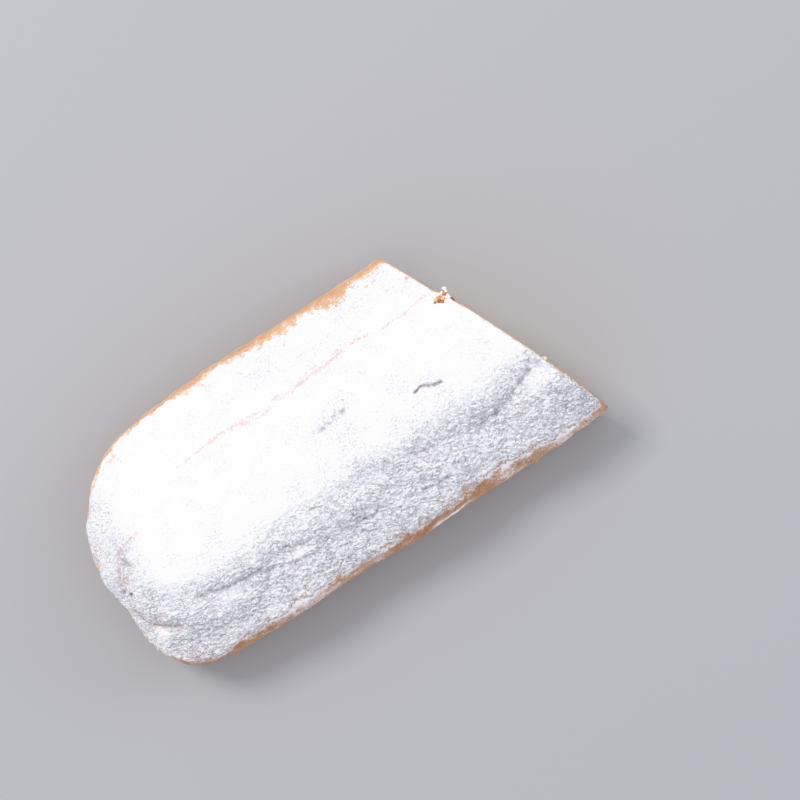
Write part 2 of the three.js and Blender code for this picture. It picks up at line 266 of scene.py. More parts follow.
def length_at_height(height, side):
    """Arc length where the section reaches a height, on the fold's side (-1) or the lip's (1)."""
    z = CURVE[:, 1] * HEIGHT
    on_side = CURVE[:, 0] * side > 0.5
    return CURVE_LENGTH[np.where(on_side, np.abs(z - height), np.inf).argmin()]


def grown(distance, reach, squareness):
    """The share of its full size that the loaf has at a distance from its far end."""
    left = 1 - np.minimum(1, distance / reach)
    return (1 - left ** squareness) ** (1 / squareness)


def form(distance, across, up):
    x = distance - HALF_LENGTH + 0 * across
    narrowing = FAR_NARROWING * np.maximum(0, 1 - distance / NARROWING_REACH)
    bulge = LIP_BULGE["height"] * bell(x - LIP_BULGE["at"], LIP_BULGE["reach"])
    lip = grown(distance, *FAR_END["lip"]) * (1 + bulge / HALF_WIDTH)
    fold = grown(distance, *FAR_END["fold"]) * (1 - narrowing)
    crown = grown(distance, *FAR_END["crown"])
    tuck = FAR_TUCK["depth"] * (1 - smoothstep(distance, 0, FAR_TUCK["reach"]))
    over = up * HEIGHT - BELLY_HEIGHT
    y = HALF_WIDTH * across * np.where(across > 0, lip, fold)
    z = BELLY_HEIGHT + over * np.where(over > 0, crown, 1)
    return np.stack([x + tuck * np.maximum(0, -over / BELLY_HEIGHT), y, z], axis=-1)


def cut_x(y, z):
    return CUT_LIP_X + (HALF_WIDTH - y) * math.tan(CUT_SKEW) + z * math.tan(CUT_LEAN) / math.cos(CUT_SKEW)


def cut_at(points):
    return cut_x(points[..., 1], points[..., 2])


NEAR_CUT = np.array([2.2, 1.8, 1.45, 1.15, 0.9, 0.65, 0.42, 0.2, 0])  # the last rows' distances to the cut


def sheet_of(lengths, end_count, body_count):
    """The plain form's points and outward directions: rows from the far end to the cut, a column a length."""
    across, up = (np.interp(lengths, CURVE_LENGTH, CURVE[:, k]) for k in (0, 1))
    reach = FAR_END["crown"][0]
    swing = np.linspace(0, math.pi / 2, end_count + 1)[1:]
    near = np.repeat((reach * (1 - np.cos(swing)))[:, None], len(lengths), axis=1)
    cut = cut_x(HALF_WIDTH * across, HEIGHT * up) + HALF_LENGTH
    even = np.linspace(0, 1, body_count + 1)[1:-1, None] * (cut - NEAR_CUT[0] - reach) + reach
    far = np.vstack([even, cut - NEAR_CUT[:, None]])
    points = form(np.vstack([near, far]), across[None, :], up[None, :])
    along = np.gradient(points, axis=0)
    around = np.gradient(points, axis=1)
    direction = np.cross(along, around)
    direction /= np.linalg.norm(direction, axis=-1)[..., None] + 1e-12
    return points, direction


def waves(p):
    total = 0
    for i in range(WAVES["count"]):
        shrink = WAVES["ratio"] ** i
        angle = WAVES["turn"] * i
        along = p[..., 0] * math.cos(angle) + (p[..., 1] + WAVES["lean"] * p[..., 2]) * math.sin(angle)
        total = total + WAVES["height"] * shrink * np.sin(
            2 * math.pi * along / (WAVES["longest"] * shrink) + angle * angle)
    return total


def cad_relief(p):
    x, y, z = np.moveaxis(p, -1, 0)
    height = waves(p)
    for line, depth, fade in HOLLOWS:
        height = height - depth * bell(distance_to_line(x, y, line), fade)
    for lump_x, lump_y, radius, tall in LUMPS:
        height = height + tall * bell(np.hypot(x - lump_x, y - lump_y), radius)
    return height * smoothstep(z, *RELIEF_GROWS)


def coat_edge(p):
    """Height of the coat's lower edge at points of the skin."""
    x, y = p[..., 0], p[..., 1]
    angle = np.arctan2(y / HALF_WIDTH, x / HALF_LENGTH)
    lip, fold = [h + rise * bell(x - at, reach) for h, at, reach, rise in (COAT_EDGE_LIP, COAT_EDGE_FOLD)]
    ripple = sum(np.sin(turns * angle + 2 * i) / (1 + i / 2) for i, turns in enumerate(EDGE_RIPPLES))
    drop = COAT_EDGE_FAR["drop"] * bell(x - COAT_EDGE_FAR["at"], COAT_EDGE_FAR["reach"])
    return fold + (lip - fold) * smoothstep(np.sin(angle), -0.3, 0.3) - drop + EDGE_RAGGED * ripple


# ---- relief that the CAD leaves out

CREASE = [(-62, 32), (-40, 32.6), (-25, 33.4), (-10, 32.6), (6, 33.4), (24, 34), (34, 34.6), (46, 33),
          (52, 31.2), (75, 32.6), (94, 31.6)]
CREASE_WIDENS = slice(2, 7)  # the stretch of it that is wider
# line, depth, fade: narrow cracks and folds in the coat
FAR_CRACKS = [
    ([(-95, 18), (-102.1, 16.6), (-108.7, 14.2), (-110.1, 10), (-114.1, 4.8), (-116.4, 0.5)], 0.6, 1.3),
    ([(-116.4, 0.5), (-118.3, -10.5), (-116.1, -14.3), (-116.1, -20), (-114, -22.4)], 0.9, 1.2),
    ([(-116, -20.4), (-107.8, -27.2), (-103, -32)], 1.15, 0.9),
]
# a crack in the coat; painted shade also darkens the sugar along it
SHADED_CRACK = [(50.9, -2.1), (54.7, -1.3), (57, -2.3), (59.4, -4.2), (64, -4.9)]
CRACKS = FAR_CRACKS + [
    (SHADED_CRACK, 1.7, 0.75),
    ([(37.3, 12), (41.6, 9.2), (49, 4.5), (55.6, 0.5)], 0.3, 0.7),
    ([(39.7, 14.1), (44.5, 11), (52.3, 5.7)], 0.22, 0.6),
    ([(1.8, 8.5), (6.5, 6.8), (12.5, 7.5), (17.7, 8.7), (21, 10.1), (21.2, 13.1), (22.4, 18.8)], 0.9, 1.7),
    ([(-5.2, -37.5), (3.5, -39.2), (5.6, -37.5)], 0.9, 0.8),
    ([(-39.9, -27.3), (-29.5, -31.3)], 0.55, 0.6),
    ([(-50, -31.3), (-39.1, -35.5), (-29.6, -37.7)], 0.55, 0.6),
    ([(-9.9, -34.1), (-4, -36), (-2.6, -38.4)], 0.6, 0.6),
    ([(-87.3, -22.8), (-77.8, -26.5), (-67.3, -28), (-56.8, -29.4)], 1.1, 1.6),
    ([(64.4, -33.7), (81, -31.8), (90.5, -28), (101.9, -23.2), (104.8, -15.1)], 0.9, 1.5),
    ([(-52.8, -31), (-40.8, -36.8), (-28.8, -38.2)], 0.9, 1.2),
    ([(-40.8, -27.7), (-31.2, -32.5)], 0.7, 0.9),
    ([(28.6, -41.6), (43, -43.1)], 0.8, 1),
    ([(31, -23.9), (43, -28.7)], 0.8, 0.9),
]
# x, y, half length, half width, turn in degrees, depth
DENTS = [
    (10.5, 7.6, 7, 3.2, 4, 1.3), (18.5, 9, 2.2, 1.8, 20, 1.2), (36.4, 17.6, 1.6, 0.8, -10, 0.5),
    (34.5, 22, 0.9, 1.2, 20, 0.5), (-106.8, 9.2, 1.2, 4.2, 32, 2.7), (-19.7, -19.8, 2.2, 0.7, -8, 0.7),
    (-14.6, 20.7, 2.2, 1, 10, 0.5), (-92.5, 26, 3, 1.2, -30, 0.6), (-40, -30, 14, 2.5, -12, 0.4),
    (24, -30, 16, 3, 6, 0.4), (48, -39, 12, 2.5, -6, 0.5), (85, -38, 14, 2.6, 8, 0.5),
    (-84, -32, 10, 2.4, -14, 0.5), (-114.3, -1.4, 0.7, 1.7, 8, 2), (-117.9, -2.5, 0.6, 1.6, 8, 1.6),
    (-113.1, -4.9, 1.3, 0.8, 20, 1.8),
]
LOCAL_GROWS = (20, 32)  # heights between which the cracks and dents grow to their full depth


def local_relief(p):
    x, y, z = np.moveaxis(p, -1, 0)
    height = np.zeros(x.shape)
    plan = np.stack([x, y, 0 * z], axis=-1)
    strayed_x, strayed_y = x + 1.2 * noise(plan, 5, 1), y + 1.6 * noise(plan, 5, 2)
    ragged = 0.55 + 0.9 * np.clip(noise(plan, 4, 3) + 0.5, 0, 1)
    for line, depth, fade in CRACKS:
        height -= depth * ragged * bell(distance_to_line(strayed_x, strayed_y, line), fade)
    for dent_x, dent_y, long, wide, turn, depth in DENTS:
        a, b = turned(x - dent_x, y - dent_y, math.radians(turn))
        height -= depth * bell(np.hypot(a / long, b / wide), 1)
    return height * smoothstep(z, *LOCAL_GROWS)


# x, reach, height: bays where the crust is bare further up, and where the coat hangs lower
LIP_BAYS = [(43, 7, 2.4), (62, 13, 1.5), (-86, 7, 3.4), (-98, 5, 2.2), (-72, 6, 2.6), (8, 12, 1.2),
            (-30, 16, 1.2), (-119, 6, -2.4)]
FOLD_BAYS = [(-84, 9, 2.2), (-66, 8, 2.6), (-48, 9, 2.6), (-30, 8, 2.8), (-12, 9, 3), (6, 7, 1.8),
             (31, 6, 1.8), (77, 7, -1.8)]
EDGE_NOISES = [(2.6, 7, 4), (2.2, 2.6, 5), (1.2, 1.3, 6)]


def bays(x, places):
    return sum(tall * bell(x - place, reach) for place, reach, tall in places)


def coat_cover(p):
    """Millimetres above the coat's ragged lower edge: below nothing the crust is bare."""
    on_lip = smoothstep(p[..., 1], -20, 20)
    raised = on_lip * bays(p[..., 0], LIP_BAYS) + (1 - on_lip) * bays(p[..., 0], FOLD_BAYS)
    return p[..., 2] - coat_edge(p) + noises(p, EDGE_NOISES) - raised


GRAIN_TURN = math.radians(-24)  # in plan, the way the sugar's creases run on the fold's flank
GRAIN_STRETCH = 1.5
GRAIN_STRAYS = 3.5


def drawn_out(p):
    """Coordinates that draw the sugar's relief out along its creases."""
    along, across = turned(p[..., 0], p[..., 1], GRAIN_TURN)
    return np.stack([along / GRAIN_STRETCH, across + GRAIN_STRAYS * noise(p, 15, 16), p[..., 2]], axis=-1)


def clefts(drawn):
    """The fine creases between clumps of sugar, 0 to 1."""
    broken = smoothstep(noise(drawn, 2.2, 17), -0.2, 0.15)
    fine = bell(noise(drawn, 1.3, 11), 0.15) * broken
    coarse = bell(noise(drawn, 3, 12), 0.09) * smoothstep(noise(drawn, 4, 18), -0.1, 0.25)
    return np.clip(fine + coarse, 0, 1)


# ---- materials


def srgb(*channels):
    c = np.array(channels) / 255
    return tuple(np.where(c <= 0.04045, c / 12.92, ((c + 0.055) / 1.055) ** 2.4)) + (1,)


class Paint:
    """A new material, with short ways to add shader nodes to it. Sizes are in millimetres."""

    def __init__(self, name):
        self.material = bpy.data.materials.new(name)
        self.material.use_nodes = True
        self.nodes, self.links = self.material.node_tree.nodes, self.material.node_tree.links
        self.shader = self.nodes["Principled BSDF"]
        self.place = self.nodes.new("ShaderNodeTexCoord").outputs["Object"]

    def _fill(self, node, inputs):
        for name, value in inputs.items():
            if isinstance(value, bpy.types.NodeSocket):
                self.links.new(value, node.inputs[name])
            else:
                node.inputs[name].default_value = value

    def _outputs(self, kind, inputs, **settings):
        """A new node's outputs. Its inputs are values or other nodes' outputs."""
        node = self.nodes.new("ShaderNode" + kind)
        for name, value in settings.items():
            setattr(node, name, value)
        self._fill(node, inputs)
        return node.outputs

    def surface(self, **inputs):
        """Fills the surface's inputs, named with _ for each space, and returns the material."""
        self._fill(self.shader, {name.replace("_", " "): value for name, value in inputs.items()})
        return self.material

    def drawn_out(self, turn, stretch):
        """Coordinates that draw patterns out along a direction in plan."""
        inputs = {"Vector": self.place, "Rotation": (0, 0, turn), "Scale": (stretch, 1, 1)}
        return self._outputs("Mapping", inputs, vector_type="TEXTURE")["Vector"]

    def noise(self, size, detail=2, rough=0.5, vector=None):
        return self._outputs("TexNoise", {"Vector": vector or self.place, "Scale": 1 / (size * MM),
                                          "Detail": detail, "Roughness": rough})["Fac"]

    def cells(self, size):
        return self._outputs("TexVoronoi", {"Vector": self.place, "Scale": 1 / (size * MM)})["Distance"]

    def attribute(self, name, output="Fac"):
        return self._outputs("Attribute", {}, attribute_name=name)[output]

    def math(self, operation, a, b):
        return self._outputs("Math", {0: a, 1: b}, operation=operation)[0]

    def plus_share(self, a, b, share):
        """The first value and a share of the second."""
        return self.math("ADD", a, self.math("MULTIPLY", b, share))

    def ramp(self, value, low, high, to_low=0, to_high=1):
        inputs = {"Value": value, "From Min": low, "From Max": high, "To Min": to_low, "To Max": to_high}
        return self._outputs("MapRange", inputs, interpolation_type="SMOOTHSTEP")["Result"]

    def mix(self, factor, a, b, blend="MIX"):
        inputs = {"Factor": factor, "A": a, "B": b}
        return self._outputs("Mix", inputs, data_type="RGBA", blend_type=blend)["Result"]

    def bump(self, height, depth, strength=1, under=None):
        """A relief of that depth, over another one if given."""
        inputs = {"Height": height, "Distance": depth * MM, "Strength": strength}
        return self._outputs("Bump", inputs | ({"Normal": under} if under else {}))["Normal"]


SUGAR = (0.94, 0.945, 0.965, 1)
# painted shade, mixed into the sugar in its creases and dents
SUGAR_PAINTED_SHADE = srgb(186, 180, 182)
# painted shade, deep in cracks and dents
SUGAR_PAINTED_DEEP_SHADE = srgb(130, 114, 108)  # deep in cracks and dents
# painted shade in the pits of the sugar
SUGAR_PIT_SHADE = srgb(168, 162, 168)
# painted shade of tiny pits, in specks
SUGAR_SPECK_SHADE = srgb(174, 172, 184)
THIN_SUGAR = (srgb(200, 160, 154), srgb(222, 192, 188))  # over the crust, in two shades
CRUST_UNDER = srgb(206, 164, 138)  # seen through thin sugar near its lower edge
CRUST = srgb(202, 158, 116)
CRUST_PALE = srgb(216, 174, 138)
CRUST_DARK = srgb(168, 118, 78)
CRUST_FRECKLE = srgb(128, 74, 42)
CRUMB_SHADES = (srgb(232, 178, 120), srgb(255, 252, 244))
# painted shade in the crumb's pores
CRUMB_PORE_SHADE = srgb(206, 146, 84)
CRUMB_CELL = 1.2


def sugar_material():
    b = Paint("icing_sugar")
    speckle = b.ramp(b.plus_share(b.noise(0.9, 3, 0.7), b.noise(3.2), 0.5), 0.5, 1)
    bare = b.math("SUBTRACT", b.math("MULTIPLY", b.attribute("thin"), 1.25), speckle)
    # painted shade: the sugar darkened in its creases and dents
    colour = b.mix(b.math("MULTIPLY", b.attribute("cleft_and_painted_shade"), 0.5), SUGAR, SUGAR_PAINTED_SHADE)
    relief = b.noise(1.15, 3, 0.62, b.drawn_out(GRAIN_TURN, GRAIN_STRETCH))
    # painted shade in the low pits of the sugar's relief, more where it is clumpy
    pits = b.math("MULTIPLY", b.ramp(relief, 0.35, 0.43, 0.6, 0), b.attribute("rough"))
    colour = b.mix(pits, colour, SUGAR_PIT_SHADE)
    # painted shade of tiny pits, as sparse grey-blue specks
    specks = b.ramp(b.plus_share(b.noise(0.95, 2, 0.6), b.noise(11), 0.5), 0.78, 0.92)
    colour = b.mix(b.math("MULTIPLY", specks, 0.6), colour, SUGAR_SPECK_SHADE)
    under = b.mix(b.attribute("low"), b.mix(b.noise(5), *THIN_SUGAR), CRUST_UNDER)
    colour = b.mix(b.ramp(bare, 0, 0.5, 0, 0.85), colour, under)
    # painted shade: dark in the deepest cracks and dents
    colour = b.mix(b.attribute("shade"), colour, SUGAR_PAINTED_DEEP_SHADE)
    strength = b.ramp(b.attribute("rough"), 0.2, 1, 0.42, 1)
    grain = b.bump(b.noise(0.5, 2, 0.6), 0.7, strength)
    clumps = b.bump(relief, 1.35, strength, grain)
    return b.surface(Base_Color=colour, Normal=clumps, Roughness=0.92, Specular_IOR_Level=0.25)


def crust_material():
    b = Paint("crust")
    blotches = b.ramp(b.noise(16, 3, 0.6), 0.35, 0.68)
    colour = b.mix(blotches, CRUST, CRUST_PALE)
    # the baked browning, with painted shade on the fold's side as well
    baked = b.plus_share(b.attribute("baked"), b.math("SUBTRACT", b.noise(4, 4, 0.7), 0.5), 0.9)
    colour = b.mix(b.ramp(baked, 0.25, 0.95), colour, CRUST_DARK)
    freckles = b.ramp(b.noise(1.1, 3, 0.7), 0.62, 0.75, 0, 0.55)
    colour = b.mix(freckles, colour, CRUST_FRECKLE)
    powder = b.plus_share(b.noise(0.9, 4, 0.75), b.noise(4.5), 0.5)
    dusty = b.plus_share(powder, b.attribute("dust"), 0.5)
    colour = b.mix(b.ramp(dusty, 0.82, 1.25, 0, 0.9), colour, SUGAR)
    fine = b.bump(b.noise(0.7, 4, 0.65), 0.22)
    coarse = b.bump(b.noise(2.6, 3, 0.6), 0.45, 0.8, fine)
    return b.surface(Base_Color=colour, Normal=coarse, Roughness=0.72, Specular_IOR_Level=0.3)


def crumb_material():
    b = Paint("crumb")
    shades = b.mix(b.ramp(b.noise(1.3, 4, 0.7), 0.32, 0.62), *CRUMB_SHADES)
    colour = b.mix(0.42, b.attribute("tone", "Color"), shades, "MULTIPLY")
    # painted shade in the pores, where the relief sinks
    pore_shade = b.ramp(b.cells(CRUMB_CELL), 0.08, 0.22, 0.35, 0)
    colour = b.mix(pore_shade, colour, CRUMB_PORE_SHADE)
    fine = b.bump(b.noise(0.5, 3, 0.7), 0.25)
    pits = b.bump(b.cells(CRUMB_CELL), 0.55, 0.8, fine)
    return b.surface(Base_Color=colour, Normal=pits, Roughness=0.8, Specular_IOR_Level=0.3,
                     Subsurface_Weight=0.12, Subsurface_Radius=(0.0012, 0.0007, 0.0003), Subsurface_Scale=1)


FRUIT_LOOK = {
    # look: inner and outer colour, roughness, glow
    "raisin": ((140, 58, 38), (66, 28, 18), 0.22, 0.2),
    "sultana": ((246, 176, 92), (210, 124, 50), 0.16, 0.5),
    "sultana_red": ((230, 140, 64), (184, 94, 36), 0.16, 0.5),
    "sultana_pale": ((240, 194, 124), (208, 150, 82), 0.2, 0.4),
    "orange_peel": ((255, 186, 84), (244, 146, 46), 0.16, 0.5),
    "lemon_peel": ((255, 226, 138), (246, 194, 92), 0.2, 0.4),
    "almond": ((255, 236, 196), (246, 214, 160), 0.45, 0.1),
}


def fruit_material(look):
    b = Paint(look)
    inner, outer, rough, glow = FRUIT_LOOK[look]
    outer = srgb(*outer)
    colour = b.mix(b.ramp(b.noise(2.2, 4, 0.65), 0.35, 0.65), srgb(*inner), outer)
    colour = b.mix(b.ramp(b.attribute("rim"), 0.3, 1, 0, 0.75), colour, outer)
    uneven = b.ramp(b.noise(1.2), 0.3, 0.7, rough, rough + 0.25)
    wrinkles = b.bump(b.noise(0.5, 2, 0.6), 0.12, 1, b.bump(b.noise(1.6), 0.5))
    return b.surface(Base_Color=colour, Normal=wrinkles, Roughness=uneven,
                     Coat_Weight=0.5, Coat_Roughness=0.12, Subsurface_Weight=glow,
                     Subsurface_Radius=(0.002, 0.0009, 0.0004), Subsurface_Scale=1)


# ---- the crust

CRUST_STEP = 0.9  # between columns where the crust shows; under the coat a few coarse ones are enough
CRUST_HIDDEN = {"fold": 43, "lip": 44, "columns": 46}  # heights above which the coat hides it
CRUST_ROWS = (58, 214)  # round the far end, and from there to the cut
CRUST_GRAINS = [(0.55, 9, 8), (0.4, 3.4, 9), (0.22, 1.7, 10)]
UNDER_COAT = 0.7  # how far the crust lies back where the coat covers it
TIP_PLAIN = {"reach": 3, "heights": (20, 27)}  # the foot of the tip is plain; relief grows over these
# x, height, radius, how far they stick out: crags of dough on the fold's side
CRAGS = [(81, 20, 1.7, 1.9), (84.6, 17, 1.3, 1.2), (-92, 19, 1.5, 0.9), (112.5, 22, 1.6, 0.9)]
# x, reach, share: where sugar dusts the crust on the fold's side
DUSTED = [(-44, 24, 0.38), (66, 7, 0.35), (104, 20, 0.4), (-8, 5, 0.3)]
STREAK = {"x": 33, "height": 29, "half_length": 13, "half_width": 3.6}  # a white one on the bare crust
FOLD_BLEND = (-16, 16)  # -y between which the lip's looks give way to the fold's
FOOT_COLUMNS = 30
TIP_RING = 0.96  # a row this share out from the tip keeps the tip's flat shading short of the foot
MIDDLE_HEIGHT = 24  # the skin behind the cut face closes round this height
TURNED_IN = 1
BEHIND_CUT = 0.9


def crust_points():
    total = CURVE_LENGTH[-1]
    left, right = length_at_height(CRUST_HIDDEN["fold"], -1), length_at_height(CRUST_HIDDEN["lip"], 1)
    lengths = np.r_[
        np.linspace(0, left, int(left / CRUST_STEP)),
        np.linspace(left, right, CRUST_HIDDEN["columns"])[1:-1],
        np.linspace(right, total, int((total - right) / CRUST_STEP)),
    ]
    points, direction = sheet_of(lengths, *CRUST_ROWS)
    cover = coat_cover(points)
    under = UNDER_COAT * smoothstep(cover, 1, 6)
    showing = smoothstep(points[..., 2], 0, 6) * (1 - 0.75 * smoothstep(cover, 0.5, 4))
    lift = cad_relief(points) + local_relief(points) + showing * noises(points, CRUST_GRAINS) - under
    for x, z, radius, tall in CRAGS:
        apart = np.hypot(points[..., 0] - x, points[..., 2] - z) * (1 + 0.5 * noise(points, 1.8, 29))
        lift += tall * bell(apart, radius) * (points[..., 1] < 0)
    from_tip = points[..., 0].min(axis=1, keepdims=True) + HALF_LENGTH
    low = 1 - smoothstep(points[..., 2], *TIP_PLAIN["heights"])
    lift *= 1 - low * (1 - smoothstep(from_tip, 0, TIP_PLAIN["reach"]))
    skin = points + direction * lift[..., None]
    skin[..., 2] = np.maximum(skin[..., 2], 0)
    skin[-1, :, 0] = cut_at(skin[-1])
    return skin, cover


def crust_dust(skin, cover, on_fold):
    """How thickly sugar dusts the bare crust."""
    x, y, z = np.moveaxis(skin, -1, 0)
    dust = (0.35 + 0.15 * on_fold) * smoothstep(cover, -2, 1) + 0.2 * smoothstep(cover, -14, -2)
    dust *= 1 - (0.15 + 0.4 * on_fold) * smoothstep(-x, 90, 108)
    for place, reach, share in DUSTED:
        dust += share * bell(x - place, reach) * smoothstep(z, 12, 24) * on_fold
    off = np.hypot((x - STREAK["x"]) / STREAK["half_length"], (z - STREAK["height"]) / STREAK["half_width"])
    dust = np.maximum(dust, bell(off, 1) * on_fold * (0.8 + 0.8 * noise(skin, 3.4, 37)))
    return dust * (0.25 + 0.75 * smoothstep(cut_x(y, z) - x, 0.5, 3))


def make_crust():
    """The crust, and its last row at the cut with the number of that row's points above the foot."""
    skin, cover = crust_points()
    rows, columns = skin.shape[:2]
    on_fold = smoothstep(-skin[..., 1], *FOLD_BLEND)
    # browner at the foot and at mid height from baking; the whole fold's side is darkened as painted shade
    baked = 0.15 + 0.45 * bell(skin[..., 2], 5) + 0.3 * bell(skin[..., 2] - 36, 9) + 0.35 * on_fold
    dust = crust_dust(skin, cover, on_fold)

    # the foot: each row's two ends joined by a flat strip of columns
    t = np.linspace(0, 1, FOOT_COLUMNS + 2)[1:-1][None, :, None]
    foot = skin[:, -1:, :] * (1 - t) + skin[:, :1, :] * t
    foot[..., 2] = np.minimum(skin[:, :1, 2], skin[:, -1:, 2])
    foot[-1, :, 0] = cut_at(foot[-1])
    flat = np.ones((rows, FOOT_COLUMNS))
    flat[0] = 0.5
    rings = np.hstack([skin, foot])
    baked = np.hstack([baked, 0.75 * flat])
    dust = np.hstack([dust, 0.1 * flat])

    # the tip, and behind the cut face an edge that turns in to close on a plane
    apex = np.array([[-HALF_LENGTH, 0, BELLY_HEIGHT]])
    tip_ring = apex + TIP_RING * (rings[0] - apex)
    towards = (np.array([0, 0, MIDDLE_HEIGHT]) - rings[-1]) * [0, 1, 1]
    edge = rings[-1] + TURNED_IN * towards / (np.linalg.norm(towards, axis=1)[:, None] + 1e-9)
    edge[:, 0] = cut_at(edge) - BEHIND_CUT
    hub = np.array([[cut_x(0, MIDDLE_HEIGHT) - BEHIND_CUT, 0, MIDDLE_HEIGHT]])
    points = np.vstack([tip_ring, rings.reshape(-1, 3), edge, apex, hub])
    width = columns + FOOT_COLUMNS
    crust = new_mesh("crust", points, closed_faces(rows + 2, width), crust_material(),
                     baked=np.r_[baked[0], baked.ravel(), np.full(width, 0.2), 0.3, 0.2],
                     dust=np.r_[dust[0], dust.ravel(), np.full(width, 0), 0.2, 0])
    return crust, rings[-1], columns


# ---- the coat of icing sugar

COAT_FOOT = 16  # the coat's hidden edge lies in the crust at this height
COAT_SET_BACK = 2.5  # and stops this far short of the cut
COAT_FINE, COAT_COARSE = 0.42, 0.8  # between columns on the fold's side and crown, and beyond
COAT_PAST_CROWN = 22  # where the one changes to the other
COAT_ROWS = (96, 420)
COAT_UNDER = 1.3  # how deep the coat's edge runs into the crust
COAT_RIM = {"under": 1, "back": 0.4}  # where its rim at the cut ends, from the skin and from the cut
FLANK = (2, 28)  # -y between which the fold's flank begins
NOSE = (88, 108)  # -x between which the far end begins
NOSE_RIM = (27, 38)  # heights between which thin sugar at the far end gives way to the full coat
# x, y, half length, half width: where the sugar lies smooth
SMOOTH = [(103.3, -29, 10, 5.5), (-77.8, -31.8, 11, 4), (-36.9, -33.5, 9, 4), (-112, -29, 3, 5)]
# x, y, radius, share: where the coat is thin over the crust
THIN_PLACES = [(-84, 54, 7, 0.6), (-61, 53, 9, 0.35), (20, 34, 14, 0.3), (-100, 20, 9, 0.3),
               (-113, 2, 8, 0.5), (-112, -24, 9, 0.45), (-75, 33, 10, 0.25), (70, 52, 12, 0.25),
               (-119, -12, 5, 0.5), (-106, -50, 11, 0.6), (-119, 22, 7, 0.45), (112, -58, 9, 0.35)]
CREASE_SHOWS = 0.72  # the share of crust that shows along it
CHIP = (78.4, 44.7, 1.1)  # x, y, radius: a bare spot at the cut, where a bit of sugar has come off
# x, y, radius, share: where the sugar is pitted and painted shade speckles it, and where painted shade is
# dark in a dent
SPECKLED_SHADE = [(10.5, 8, 9, 0.8), (10, 27, 10, 0.55), (30, 26, 8, 0.5), (36, 20, 4, 0.8), (-20, 28, 8, 0.35),
            (50, 10, 9, 0.35), (75, 28, 7, 0.4), (-105, 12, 8, 0.7)]
SHADED = [(18.2, 9.2, 1.3, 0.5), (5.6, 7.5, 1.5, 0.35), (21.3, 13.3, 0.8, 0.6), (-106.8, 9.2, 1.2, 0.45),
          (-114.3, -1.4, 0.9, 0.9), (-117.9, -2.5, 0.9, 0.9), (-113.1, -4.9, 1.1, 0.8)]


def coat_grid():
    fold_foot, lip_foot = length_at_height(COAT_FOOT, -1), length_at_height(COAT_FOOT, 1)
    change = CURVE_LENGTH[CURVE[:, 1].argmax()] + COAT_PAST_CROWN
    coarse = np.linspace(change, lip_foot, int((lip_foot - change) / COAT_COARSE))
    return sheet_of(np.r_[np.arange(fold_foot, change, COAT_FINE), coarse], *COAT_ROWS)


def roughness(x, y, flank, nose):
    """How clumpy the sugar's surface is, 0 to 1."""
    lip = smoothstep(y, 36, 42) * smoothstep(x, -50, 0)
    rough = np.clip(0.25 + 0.75 * flank + 0.6 * nose + 0.3 * lip, 0, 1)
    for place_x, place_y, long, wide in SMOOTH:
        rough *= 1 - 0.65 * bell(np.hypot((x - place_x) / long, (y - place_y) / wide), 1)
    return rough


def thinness(points, cover, nose):
    """How far the crust shows through: at the coat's lower edge, along the crease and in places."""
    x, y, z = np.moveaxis(points, -1, 0)
    patchy = 0.5 + noise(points, 16, 28)
    reach = np.where(y > 0, 3.4 + 1.6 * patchy, 4.6 + 2.6 * patchy)
    thin = 0.9 * (1 - smoothstep(cover, -1.5, reach))
    thin = np.maximum(thin, 0.95 * nose * (1 - smoothstep(cover, 0.8, 2.4 + 2.8 * patchy)))
    thin = np.maximum(thin, 0.85 * nose * (1 - smoothstep(z + 3 * noise(points, 5, 42), *NOSE_RIM)))
    crease = distance_to_line(x, y, CREASE) + 1.8 * noise(points, 6, 15)
    beside = distance_to_line(x, y + 2.4, CREASE[CREASE_WIDENS]) + 2.4 * noise(points, 5, 19)
    for distance, width in ((crease, 1.4), (beside, 2.3)):
        thin = np.maximum(thin, CREASE_SHOWS * bell(np.maximum(distance, 0), width))
    thin = spotted(thin, x, y, THIN_PLACES)
    for line, _, fade in FAR_CRACKS:
        thin = np.maximum(thin, 0.62 * bell(distance_to_line(x, y, line), 1.3 * fade))
    return thin


